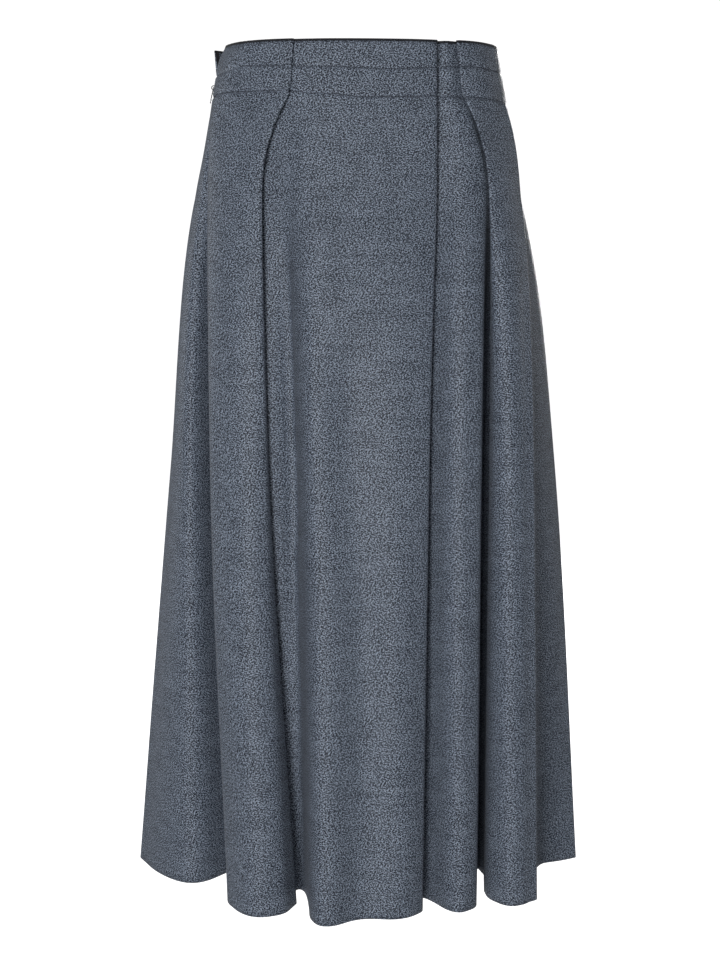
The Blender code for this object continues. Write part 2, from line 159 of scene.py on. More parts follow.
def back_rows():
    """The back's fold lines by name, from the seam at +X round to the zip's seam."""
    rows = {"right seam": FRONT_FOLDS["right seam"]}
    rows.update({f"right {name}": row for name, row in BACK_FOLDS.items()})
    rows["middle"] = BACK_MIDDLE
    rows.update({f"left {name}": mirrored(BACK_FOLDS[name]) for name in reversed(BACK_FOLDS)})
    rows["zip seam"] = FRONT_FOLDS["zip seam"]
    return rows


print(len(FRONT_FOLDS), "fold lines in front,", len(back_rows()), "at the back")

# %% [markdown]
# A fold line's smooth curve is a cubic between the heights, with slopes that never overshoot. A
# pressed fold is different just under the lower stitched row: the stitches let go of it there, so
# it swings away at once. Each height then gets its line of cloth, seen from above, with every
# corner rounded by a short arc. All the lines have the same number of points, so that they can be
# joined into a grid.

# %% From fold lines to rounded sections
SOFT_STEP = 4.6  # spacing of points round a soft turn
FLAT_STEP = 4.0  # spacing of points where the cloth is flat
CRISP_POINTS = 5
LEAST_POINTS = 5
LEAST_FLAT = 0.05  # a flat stretch shorter than this gets no points


def slopes(heights, values):
    """Slopes at the levels that let the curve through them rise and fall only where they do."""
    steps = np.diff(heights)
    rises = np.diff(values, axis=0) / steps[:, None]
    found = np.zeros_like(values)
    found[0], found[-1] = rises[0], rises[-1]
    for i in range(1, len(heights) - 1):
        before, after = rises[i - 1], rises[i]
        same_way = before * after > 0
        total = np.where(same_way, before + after, 1.0)
        found[i] = np.where(same_way, 2 * before * after / total, 0.0)
    return found


def fold_curve(row, heights):
    """Where a fold line stands at each of these heights."""
    levels = -np.array(LEVELS)
    values = np.array(row[1:], float)
    depths = -np.asarray(heights, float)
    i = np.clip(np.searchsorted(levels, depths, side="right") - 1, 0, len(levels) - 2)
    step = (levels[i + 1] - levels[i])[:, None]
    u = (depths - levels[i])[:, None] / step
    u = np.where((i == HIP_ROW)[:, None], u + HIP_FLARE * u * (1 - u) ** 2, u)
    slope = slopes(levels, values)
    start = slope[i]
    if row[0] != SOFT:
        released = RELEASE * (values[STITCHED_ROW + 1] - values[STITCHED_ROW])
        start = np.where((i == STITCHED_ROW)[:, None], released / step, start)
    return (
        (2 * u**3 - 3 * u**2 + 1) * values[i]
        + (u**3 - 2 * u**2 + u) * step * start
        + (3 * u**2 - 2 * u**3) * values[i + 1]
        + (u**3 - u**2) * step * slope[i + 1]
    )


def section_corners(rows, heights, side):
    """Corners and roundings of the cloth's line at each height. Its ends meet the seams square."""
    corners = [fold_curve(row, heights) for row in rows]
    square = np.array([0.0, side * SEAM_TURN])
    corners = [corners[0], corners[0] + square, *corners[1:-1], corners[-1] + square, corners[-1]]
    roundings = [CRISP, CRISP, *[row[0] for row in rows[1:-1]], CRISP, CRISP]
    return np.stack(corners, axis=1), roundings


def rounded(corners, roundings):
    """The lines through the corners, each corner rounded. Every line gets the same points."""
    middle = len(corners) // 2
    count = corners.shape[1]
    ends = []
    for i in range(1, count - 1):
        pair = []
        for other in (i - 1, i + 1):
            along = corners[:, other] - corners[:, i]
            length = np.linalg.norm(along, axis=1)[:, None]
            soft = roundings[i] == SOFT
            reach = SOFT * length if soft else np.minimum(roundings[i], 0.4 * length)
            pair.append(corners[:, i] + along * reach / length)
        ends.append(pair)
    columns = [corners[:, 0]]
    marks = [0.0]
    for i in range(1, count - 1):
        start, stop = ends[i - 1]
        last = columns[-1]
        gap = np.linalg.norm(start[middle] - last[middle])
        steps = max(1, round(gap / FLAT_STEP))
        if gap > LEAST_FLAT:
            for t in np.arange(1, steps + 1) / steps:
                columns.append(last + (start - last) * t)
                marks.append(i - 0.5)
        arc = np.linalg.norm(start[middle] - corners[middle, i])
        arc += np.linalg.norm(stop[middle] - corners[middle, i])
        crisp = roundings[i] == CRISP
        points = CRISP_POINTS if crisp else max(LEAST_POINTS, round(arc / SOFT_STEP))
        for u in np.arange(1, points + 1) / points:
            curve = (1 - u) ** 2 * start + 2 * u * (1 - u) * corners[:, i] + u**2 * stop
            columns.append(curve)
            marks.append(i - 0.5 + u)
    columns.append(corners[:, -1])
    marks.append(float(count - 1))
    return np.stack(columns, axis=1), np.array(marks)


print("a soft turn takes half of each neighbouring stretch, a pressed one", CRISP, "mm")

# %% [markdown]
# The zip is open for its top 32 mm. There the front's corner has dropped back from the seam, and
# the back's corner curls outwards, as stiff wool does at a raw opening. The front's line is cut
# short there, and its points move closer together. The back also leans a little to one side
# towards the hem, since no pleated skirt hangs quite square.

# %% The opening above the zip
OPEN_LENGTH = 32.0
OPEN_WIDTH = 31.0
OPEN_BEND = 1.4  # over 1, the cut edge is a hollow curve
CUT_BAND = 6.0  # points from before the cut go into a band this long beyond it
CUT_BLEND = 12.0  # and from there they spread evenly over this much more than the cut
CURL_WIDTH = 22.0
CURL_REACH = 11.0
CURL_OUT = 0.6
BACK_LEAN = 9.0
LEAN_FROM, LEAN_OVER = 10.0, 60.0
LEAN_WAVE = 45.0


def fallen(heights):
    """From 1 at the top edge to 0 at the closed part of the zip."""
    return np.clip(1.0 + np.asarray(heights, float) / OPEN_LENGTH, 0.0, 1.0)


def trimmed(line, cut):
    """The line with this much of its start cut off, on the same number of points."""
    steps = np.linalg.norm(np.diff(line, axis=0), axis=1)
    lengths = np.concatenate([[0], np.cumsum(steps)])
    kept = np.maximum(lengths, cut + (lengths / lengths[-1]) * CUT_BAND)
    blend = np.searchsorted(lengths, 2 * cut + CUT_BLEND)
    kept[:blend] = cut + np.linspace(0, 1, blend) * (lengths[blend] - cut)
    return np.column_stack([np.interp(kept, lengths, line[:, axis]) for axis in (0, 1)])


def front_lines(heights):
    """The front's line at each height, from the zip's seam to the other one."""
    corners, roundings = section_corners(list(FRONT_FOLDS.values()), heights, -1)
    lines, marks = rounded(corners, roundings)
    lines[:, [0, -1], 1] -= SEAM_GAP / 2
    for k, share in enumerate(fallen(heights)):
        if share > 0:
            lines[k] = trimmed(lines[k], OPEN_WIDTH * share**OPEN_BEND)
    return lines, marks


def back_lines(heights):
    """The back's line at each height, leaning a little and curling out at the zip's top."""
    corners, roundings = section_corners(list(back_rows().values()), heights, 1)
    lines, marks = rounded(corners, roundings)
    share = np.clip((lines[..., 1] - LEAN_FROM) / LEAN_OVER, 0.0, 1.0)
    share *= (np.asarray(heights, float)[:, None] / SKIRT_LENGTH) ** 2
    lines[..., 0] += BACK_LEAN * share * np.cos(lines[..., 0] / LEAN_WAVE)
    lines[:, [0, -1], 1] += SEAM_GAP / 2
    from_end = np.linalg.norm(lines - lines[:, -1:], axis=2)
    curl = np.clip(1 - from_end / CURL_WIDTH, 0, 1) ** 2 * (lines[..., 0] < 0)
    curl *= fallen(heights)[:, None]
    lines[..., 0] -= CURL_REACH * curl
    lines[..., 1] += CURL_OUT * CURL_REACH * curl
    return lines, marks


print("the zip is open for", OPEN_LENGTH, "mm below the top edge")

# %% [markdown]
# Two rows of stitching hold the pleats flat: one about 25 mm under the top edge and one about
# 50 mm under it. They wander by a few millimetres, as hand-guided rows do. Each table gives the
# row's height at places from left to right, and the cloth dips a little along the row.

# %% Stitched rows
STITCH_ROWS = {
    "upper": (
        (-140, -26), (-121, -25.5), (-110, -22), (-60, -24), (0, -26), (30, -27), (70, -24.6),
        (80, -22.7), (108, -23.3), (122, -24.3), (140, -25),
    ),
    "lower": (
        (-150, -46), (-122, -45.4), (-94, -45.7), (-65, -46.3), (-55, -47), (-20, -49.5), (0, -52),
        (40, -51.5), (70, -50.2), (95, -50.5), (115, -51.5), (133, -53), (150, -54),
    ),
}
DIP_DEPTH = 1.5
DIP_WIDTH = 1.5
GRID_BANDS = (  # from, to and spacing of the grid's rows
    (-2.1, -20, 3.0), (-20, -30, 0.9), (-30, -43, 3.2), (-43, -57, 0.9), (-57, -70, 3.3),
)
GRID_STEP = 6.0  # spacing below the bands


def row_height(row, x):
    """How high a stitched row lies at this x."""
    places = np.array(STITCH_ROWS[row], float)
    return np.interp(x, places[:, 0], places[:, 1])


def grid_heights():
    """Heights of the cloth's grid: close together at the stitched rows, wider below them."""
    heights = []
    for start, stop, step in GRID_BANDS:
        heights.extend(np.linspace(start, stop, round((start - stop) / step), endpoint=False))
    below = round((SKIRT_LENGTH + stop) / GRID_STEP)
    heights.extend(np.linspace(stop, -SKIRT_LENGTH, below + 1))
    return np.array(heights)


HEIGHTS = grid_heights()
print(len(HEIGHTS), "rows of points from the top edge to the hem")

# %% [markdown]
# Wool of this weight hangs in long soft troughs and ridges. Each row of the next table is one of
# them: the fold line that it follows, how far along the cloth it lies from that line at a few
# heights, how wide it is and how deep. A trough has a negative depth. The point moves straight
# out of or into the cloth, so the fold lines themselves stay where the solids have them. A small
# slack comes last: slow waves in the air, which move all the layers of a pleat together.

# %% Troughs and ridges
FRONT_CREASES = (
    # fold, (height, distance along the cloth) ..., half width, depth, (start, end)
    (
        "centre face", ((-320, -13), (-410, -10), (-505, -2), (-690, 2), (-800, -2)), 20, -6,
        (-250, -900),
    ),
    ("centre right", ((-320, -14), (-800, -4)), 17, 2.5, (-420, -900)),
    ("centre valley", ((-230, -1), (-420, 2)), 6.0, -3.0, (-160, -480)),
    ("right corner", ((-190, -9), (-800, -9)), 4.5, -1.3, (-190, -900)),
    ("left side", ((-30, 2), (-110, 0)), 16, -2.6, (-5, -150)),
)
BACK_CREASES = (
    ("middle", ((-300, 6), (-800, 12)), 20, -3.5, (-260, -900)),
    ("right face", ((-330, 4), (-800, 9)), 15, -3.0, (-280, -900)),
    ("left face", ((-380, -6), (-800, -2)), 17, -3.8, (-340, -900)),
    ("right centre face", ((-300, 8), (-800, 2)), 14, 2.2, (-400, -900)),
    ("left side", ((-420, 8), (-800, 12)), 13, -2.4, (-380, -900)),
    ("left corner", ((-150, 10), (-280, 14)), 5, -3.0, (-140, -290)),
)
FADE = 60.0
SLACK_SIZES = (0.55, 0.4, 0.3, 0.25)
SLACK_WIDE = (0.02, 0.05)
SLACK_TALL = (0.006, 0.018)
SLACK_FROM, SLACK_OVER = -60.0, 300.0
FRONT_SEED, BACK_SEED = 3, 8


def arc_lengths(points):
    """Distance along the cloth from its first edge, for each row of points."""
    steps = np.linalg.norm(np.diff(points, axis=1), axis=2)
    return np.concatenate([np.zeros((len(points), 1)), np.cumsum(steps, axis=1)], axis=1)


def outward(points):
    """The direction straight out of the cloth at each point."""
    along = np.gradient(points, axis=1)
    down = np.gradient(points, axis=0)
    out = np.cross(down, along)
    return out / np.maximum(np.linalg.norm(out, axis=2, keepdims=True), 1e-9)


def crease_relief(points, marks, names, creases):
    """How far the troughs and ridges move each point."""
    lengths = arc_lengths(points)
    heights = points[:, 0, 2]
    relief = np.zeros(lengths.shape)
    for fold, path, width, depth, (start, end) in creases:
        mark = names.index(fold) + 1
        at_fold = np.array([np.interp(mark, marks, row) for row in lengths])
        place = np.array(path, float)[::-1]
        middle = at_fold + np.interp(heights, place[:, 0], place[:, 1])
        fade = np.clip((start - heights) / FADE, 0, 1) * np.clip((heights - end) / FADE, 0, 1)
        fade = fade * fade * (3 - 2 * fade)
        relief += depth * fade[:, None] * np.exp(-(((lengths - middle[:, None]) / width) ** 2))
    return relief


def slack(points, seed):
    """The slight unevenness of hanging cloth: the layers of a pleat move together."""
    random = np.random.default_rng(seed)
    x, y, z = points[..., 0], points[..., 1], points[..., 2]
    total = np.zeros(x.shape)
    for size in SLACK_SIZES:
        wide = random.uniform(*SLACK_WIDE)
        tall = random.uniform(*SLACK_TALL)
        phases = random.uniform(0, 2 * np.pi, 3)
        waves = np.sin(wide * x + phases[0]) * np.cos(wide * y + phases[1])
        total += size * waves * np.sin(tall * z + phases[2])
    grows = np.clip((SLACK_FROM - z) / SLACK_OVER, 0, 1)
    radial = points[..., :2] / np.linalg.norm(points[..., :2], axis=2, keepdims=True)
    return (total * grows)[..., None] * radial


def shaped_cloth(lines, marks, names, creases, seed):
    """The cloth's grid of points, with its dips, creases and slack."""
    heights = np.broadcast_to(HEIGHTS[:, None, None], (*lines.shape[:2], 1))
    points = np.concatenate([lines, heights], axis=2)
    relief = crease_relief(points, marks, names, creases)
    for row in STITCH_ROWS:
        away = points[..., 2] - row_height(row, points[..., 0])
        relief -= DIP_DEPTH * np.exp(-((away / DIP_WIDTH) ** 2))
    moved = points + relief[..., None] * outward(points)
    moved[..., :2] += slack(points, seed)
    return moved


FRONT_NAMES = list(FRONT_FOLDS)
BACK_NAMES = list(back_rows())
front_line, front_marks = front_lines(HEIGHTS)
back_line, back_marks = back_lines(HEIGHTS)
front_points = shaped_cloth(front_line, front_marks, FRONT_NAMES, FRONT_CREASES, FRONT_SEED)
back_points = shaped_cloth(back_line, back_marks, BACK_NAMES, BACK_CREASES, BACK_SEED)
print("front grid", front_points.shape[:2], "back grid", back_points.shape[:2])

# %% [markdown]
# The grid becomes a mesh of quads with a UV map in metres: the distance along the cloth and the
# distance down it. The melange pattern reads this map, so it follows the folds and does not
# stretch. Solidify gives the wall its thickness, with the grid in its middle.

# %% Cloth from a grid
CLOTH_THICKNESS = 1.4


def grid_mesh(name, points, middle):
    """Quads through the grid, facing out, with a UV map in metres counted from the middle."""
    rows, columns = points.shape[:2]
    index = np.arange(rows * columns).reshape(rows, columns)
    faces = np.stack([index[:-1, :-1], index[1:, :-1], index[1:, 1:], index[:-1, 1:]], axis=-1)
    mesh = bpy.data.meshes.new(name)
    mesh.from_pydata((points.reshape(-1, 3) * MM).tolist(), [], faces.reshape(-1, 4).tolist())
    along = arc_lengths(points)
    along -= along[:, middle : middle + 1]
    down = np.linalg.norm(np.diff(points, axis=0), axis=2)
    down = np.concatenate([np.zeros((1, columns)), np.cumsum(down, axis=0)])
    uv = np.stack([along, -down], axis=-1).reshape(-1, 2) * MM
    layer = mesh.uv_layers.new(name="cut")
    corners = np.empty(len(mesh.loops), np.int32)
    mesh.loops.foreach_get("vertex_index", corners)
    layer.data.foreach_set("uv", uv[corners].ravel().astype(np.float32))
    mesh.shade_smooth()
    return mesh


def add_piece(name, mesh, finish):
    """A new piece with one material, at the origin."""
    piece = bpy.data.objects.new(name, mesh)
    mesh.materials.clear()
    mesh.materials.append(finish)
    bpy.context.scene.collection.objects.link(piece)
    return piece


def walled(piece, thickness):
    """Gives the piece its wall and makes it a plain mesh."""
    wall = piece.modifiers.new("Wall", "SOLIDIFY")
    wall.thickness = thickness * MM
    wall.offset = 0.0
    graph = bpy.context.evaluated_depsgraph_get()
    solid = bpy.data.meshes.new_from_object(piece.evaluated_get(graph))
    piece.modifiers.clear()
    piece.data = solid
    return piece


def triangles(piece):
    """How many triangles the piece has."""
    return sum(len(face.vertices) - 2 for face in piece.data.polygons)


print("the cloth's wall is", CLOTH_THICKNESS, "mm thick")

# %% [markdown]
# Every material below is a small tree of shader nodes around one Principled shader. These helpers
# make a node, set it and join it in one call. Any input can take a plain value or the output of
# another node.

# %% Shader helpers


class Wiring:
    """Short calls for adding shader nodes to a tree and joining them."""

    def __init__(self, tree):
        self.tree = tree

    def put(self, socket, value):
        """Joins another node's output to the socket, or sets its plain value."""
        if isinstance(value, bpy.types.NodeSocket):
            self.tree.links.new(value, socket)
        elif socket.type == "RGBA":
            socket.default_value = (*value[:3], 1.0)
        else:
            socket.default_value = value

    def node(self, kind, settings=None, **inputs):
        """A node of this kind, with settings, and inputs that are values or other sockets."""
        made = self.tree.nodes.new(kind)
        for name, value in (settings or {}).items():
            setattr(made, name, value)
        for name, value in inputs.items():
            self.put(made.inputs[name.replace("_", " ")], value)
        return made

    def math(self, operation, first, second=0.0, clamp=False):
        """One sum on two numbers or sockets."""
        made = self.tree.nodes.new("ShaderNodeMath")
        made.operation = operation
        made.use_clamp = clamp
        for socket, value in zip(made.inputs, (first, second)):
            self.put(socket, value)
        return made.outputs[0]

    def ramp(self, factor, stops):
        """A colour ramp with these (place, colour) stops."""
        made = self.node("ShaderNodeValToRGB", Fac=factor)
        elements = made.color_ramp.elements
        while len(elements) < len(stops):
            elements.new(0.5)
        for element, (place, colour) in zip(elements, stops):
            element.position = place
            element.color = (*colour, 1.0)
        return made.outputs["Color"]

    def mix(self, factor, first, second):
        """Two colours mixed by the factor. A Mix node keeps its colours at places 6 and 7."""
        made = self.node("ShaderNodeMix", {"data_type": "RGBA"})
        for place, value in ((0, factor), (6, first), (7, second)):
            self.put(made.inputs[place], value)
        return made.outputs[2]

    def noise(self, vector, scale, detail=2.0, roughness=0.5, dimensions="3D"):
        """A noise value between 0 and 1 at this many turns per metre."""
        made = self.node(
            "ShaderNodeTexNoise", {"noise_dimensions": dimensions},
            Vector=vector, Scale=scale, Detail=detail, Roughness=roughness,
        )
        return made.outputs["Fac"]

    def stretched(self, vector, scale, turn=0.0):
        """The vector stretched and turned about Z."""
        return self.node(
            "ShaderNodeMapping", Vector=vector, Scale=scale, Rotation=(0.0, 0.0, turn)
        ).outputs["Vector"]


def new_group(name, inputs, outputs):
    """A shader node group with (kind, name, value) inputs and (kind, name) outputs."""
    tree = bpy.data.node_groups.new(name, "ShaderNodeTree")
    for kind, label, value in inputs:
        socket = tree.interface.new_socket(label, in_out="INPUT", socket_type=kind)
        if value is not None:
            socket.default_value = value
    for kind, label in outputs:
        tree.interface.new_socket(label, in_out="OUTPUT", socket_type=kind)
    entry = tree.nodes.new("NodeGroupInput")
    leave = tree.nodes.new("NodeGroupOutput")
    return tree, entry, leave, Wiring(tree)


def new_material(name, roughness, metallic=0.0, sheen=0.0, specular=0.5):
    """A material with a Principled shader, and its wiring."""
    made = bpy.data.materials.new(name)
    made.use_nodes = True
    shader = made.node_tree.nodes["Principled BSDF"]
    shader.inputs["Roughness"].default_value = roughness
    shader.inputs["Metallic"].default_value = metallic
    shader.inputs["Sheen Weight"].default_value = sheen
    shader.inputs["Specular IOR Level"].default_value = specular
    return made, shader, Wiring(made.node_tree)


print("shader helpers ready")

# %% [markdown]
# Melange flannel is spun from wool dyed in several greys before it is spun, so every yarn is a
# mix of near-black, blue-grey and pale fibres, and milling blurs the weave. Up close it is a
# restless speckle about a millimetre across, with no pattern; from further off faint clouds and
# streaks remain. The speckle is the sum of noise at four sizes, three of them drawn out sideways,
# as the weft runs. The sum picks a colour between three greys, and the two finest sizes also give
# the height of the nap. It is a group with named inputs, so that the cloth's colours can be
# changed without touching the pattern.

# %% Melange fibres
YARN_SCALE, STREAK_SCALE, CLOUD_SCALE = 480.0, 210.0, 62.0
YARN_SHARE, STREAK_SHARE, CLOUD_SHARE = 0.65, 0.30, 0.35


def melange_group():
    """Speckled fibres: a colour between three greys, and the height of the nap."""
    tree, entry, leave, w = new_group(
        "melange_fibres",
        (
            ("NodeSocketVector", "Place", None),
            ("NodeSocketColor", "Dark", (0.02, 0.03, 0.04, 1)),
            ("NodeSocketColor", "Middle", (0.10, 0.12, 0.15, 1)),
            ("NodeSocketColor", "Light", (0.30, 0.34, 0.40, 1)),
            ("NodeSocketFloat", "Fibre Scale", 700.0),
            ("NodeSocketFloat", "Contrast", 2.4),
        ),
        (("NodeSocketColor", "Colour"), ("NodeSocketFloat", "Nap")),
    )
    place = entry.outputs["Place"]
    along_fibre = w.stretched(place, (0.8, 1.1, 1.0), 0.35)
    fine = w.noise(along_fibre, entry.outputs["Fibre Scale"], 3.0, 0.6, "2D")
    yarn = w.noise(w.stretched(place, (0.6, 1.4, 1.0), -0.12), YARN_SCALE, 2.0, 0.6, "2D")
    streak = w.noise(w.stretched(place, (0.12, 1.0, 1.0)), STREAK_SCALE, 2.0, 0.5, "2D")
    cloud = w.noise(place, CLOUD_SCALE, 3.0, 0.6, "2D")
    speckle = w.math("MULTIPLY", w.math("SUBTRACT", fine, 0.5), entry.outputs["Contrast"])
    for noise, share in ((yarn, YARN_SHARE), (streak, STREAK_SHARE), (cloud, CLOUD_SHARE)):
        part = w.math("MULTIPLY", w.math("SUBTRACT", noise, 0.5), share)
        speckle = w.math("ADD", speckle, part)
    level = w.math("ADD", speckle, 0.5, clamp=True)
    lower = w.math("MULTIPLY", level, 2.0, clamp=True)
    upper = w.math("SUBTRACT", w.math("MULTIPLY", level, 2.0), 1.0, clamp=True)
    darker = w.mix(lower, entry.outputs["Dark"], entry.outputs["Middle"])
    tree.links.new(w.mix(upper, darker, entry.outputs["Light"]), leave.inputs["Colour"])
    nap = w.math("ADD", w.math("MULTIPLY", fine, 0.6), w.math("MULTIPLY", yarn, 0.4))
    tree.links.new(nap, leave.inputs["Nap"])
    return tree


MELANGE = melange_group()
print("group", MELANGE.name, "with", len(MELANGE.nodes), "nodes")


def flannel():
    """The skirt's cloth."""
    made, shader, w = new_material("wool_flannel", 0.58, sheen=0.04, specular=0.22)
    shader.inputs["Sheen Roughness"].default_value = 0.5
    shader.inputs["Sheen Tint"].default_value = (0.75, 0.80, 0.90, 1)
    place = w.node("ShaderNodeUVMap", {"uv_map": "cut"}).outputs["UV"]
    fibres = w.node(
        "ShaderNodeGroup", {"node_tree": MELANGE}, Place=place,
        Dark=(0.004, 0.006, 0.011, 1), Middle=(0.048, 0.059, 0.083, 1),
        Light=(0.262, 0.308, 0.382, 1), Fibre_Scale=900.0, Contrast=5.2,
    )
    w.tree.links.new(fibres.outputs["Colour"], shader.inputs["Base Color"])
    bump = w.node(
        "ShaderNodeBump", Strength=0.35, Distance=0.0004, Height=fibres.outputs["Nap"]
    )
    w.tree.links.new(bump.outputs["Normal"], shader.inputs["Normal"])
    return made


FLANNEL = flannel()

# %% [markdown]
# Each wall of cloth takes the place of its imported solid, hangs from the binding on its top edge,
# and states the flat cut that it was folded from.

# %% The two walls of cloth
front_mesh = grid_mesh("front_cloth", front_points, front_points.shape[1] // 2)
front = add_piece("front_cloth", front_mesh, FLANNEL)
walled(front, CLOTH_THICKNESS)
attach(front, "skirt")
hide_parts("front_panel")
back_mesh = grid_mesh("back_cloth", back_points, back_points.shape[1] // 2)
back = add_piece("back_cloth", back_mesh, FLANNEL)
walled(back, CLOTH_THICKNESS)
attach(back, "skirt")
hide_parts("back_panel")
print("front", triangles(front), "triangles; back", triangles(back), "triangles")

# %% [markdown]
# The raw top edge is bound with a narrow near-black tape before the pleats are folded, so the
# tape follows every fold. It is woven with fine ribs across it. The ribs are a sine wave on the
# distance along the strip, crossed by a finer one for the weft, and the colour is painted darker
# in the grooves between them, as shade. The same weave in a coarser size is the zip's tape. Both
# take it from one group.

# %% Woven tape


def woven_group():
    """Ribs of a woven tape: a colour with painted shade in the grooves, and the height of the ribs.
    """
    tree, entry, leave, w = new_group(
        "woven_ribs",
        (
            ("NodeSocketVector", "Place", None),
            ("NodeSocketColor", "Valley Shade", (0.004, 0.004, 0.006, 1)),
            ("NodeSocketColor", "Rib", (0.02, 0.022, 0.028, 1)),
            ("NodeSocketFloat", "Ribs", 1100.0),
            ("NodeSocketFloat", "Weft", 1900.0),
        ),
        (("NodeSocketColor", "Colour"), ("NodeSocketFloat", "Height")),
    )
    place = entry.outputs["Place"]
    parts = w.node("ShaderNodeSeparateXYZ", Vector=place)
    waves = []
    for axis, count in (("X", "Ribs"), ("Y", "Weft")):
        turns = w.math("MULTIPLY", parts.outputs[axis], entry.outputs[count])
        wave = w.math("SINE", w.math("MULTIPLY", turns, 2 * math.pi))
        waves.append(w.math("ADD", w.math("MULTIPLY", wave, 0.5), 0.5))
    height = w.math("ADD", w.math("MULTIPLY", waves[0], 0.7), w.math("MULTIPLY", waves[1], 0.3))
    fuzz = w.noise(place, 2600.0, 2.0, 0.6, "2D")
    worn = w.math("MULTIPLY", w.math("SUBTRACT", fuzz, 0.5), 0.6)
    height = w.math("ADD", height, worn, clamp=True)
    # Painted shade: the colour goes darker where the ribs are low, in the grooves between them.
    colour = w.mix(height, entry.outputs["Valley Shade"], entry.outputs["Rib"])
    tree.links.new(colour, leave.inputs["Colour"])
    tree.links.new(height, leave.inputs["Height"])
    return tree


WOVEN = woven_group()


def woven_tape(name, place_kind, **sizes):
    """A tape's material. Its place is the piece's own map, or the frame's coordinates."""
    made, shader, w = new_material(name, 0.72, sheen=0.05, specular=0.25)
    if place_kind == "cut":
        place = w.node("ShaderNodeUVMap", {"uv_map": "cut"}).outputs["UV"]
    else:
        object_place = w.node("ShaderNodeTexCoord").outputs["Object"]
        place = w.node(
            "ShaderNodeMapping", Vector=object_place, Rotation=(math.pi / 2, 0.0, 0.0)
        ).outputs["Vector"]
    weave = w.node("ShaderNodeGroup", {"node_tree": WOVEN}, Place=place, **sizes)
    w.tree.links.new(weave.outputs["Colour"], shader.inputs["Base Color"])
    bump = w.node("ShaderNodeBump", Strength=0.5, Distance=0.0003, Height=weave.outputs["Height"])
    w.tree.links.new(bump.outputs["Normal"], shader.inputs["Normal"])
    return made


BINDING = woven_tape("binding_tape", "cut", Ribs=1100.0, Weft=1900.0)
ZIP_CLOTH = woven_tape("zip_cloth", "cut", Ribs=900.0, Weft=1400.0)
ZIP_NODE_CLOTH = woven_tape("zip_cloth_by_place", "object", Ribs=900.0, Weft=1400.0)
print("group", WOVEN.name, "with", len(WOVEN.nodes), "nodes")

# %% [markdown]
# The binding is a strip a little thicker than the cloth, on the cloth's own line at the very top,
# so it stands proud on both faces and closes the cloth's raw edge.

# %% The binding on the top edge
BINDING_THICKNESS = 1.8
BINDING_HEIGHTS = np.array([-0.05, -0.8, -1.5, -2.08])


def with_heights(lines, heights):
    """Points in space from lines seen from above and their heights."""
    tall = np.broadcast_to(heights[:, None, None], (*lines.shape[:2], 1))
    return np.concatenate([lines, tall], axis=2)


def strip(name, points, thickness, finish):
    """A narrow strip of tape through these points."""
    piece = add_piece(name, grid_mesh(name, points, 0), finish)
    walled(piece, thickness)
    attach(piece, "skirt")
    return piece


for side, lines_at in (("front", front_lines), ("back", back_lines)):
    line, _ = lines_at(BINDING_HEIGHTS)
    places = with_heights(line, BINDING_HEIGHTS)
    binding = strip(f"{side}_binding", places, BINDING_THICKNESS, BINDING)
    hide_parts(f"{side}_edge_tape")
    print(binding.name, triangles(binding), "triangles")

# %% [markdown]
# A stitch is a short bead of thread that lies on the cloth and dives in at both ends. A whole row
# is one shape repeated along a path, so Geometry Nodes lay it: the path is resampled at the stitch
# length, and a small stretched sphere goes on every point, turned along the path and sunk into
# the nap. No two are quite the same size. The zip's coil is the same idea with beads set across
# the path, so one tree makes both.

# %% The tree that lays stitches
STITCH_SIZES = {
    "Pitch": 2.7, "Bead Length": 2.5, "Bead Width": 0.85, "Bead Height": 0.60, "Slant": 5.0,
    "Unevenness": 0.25,
}


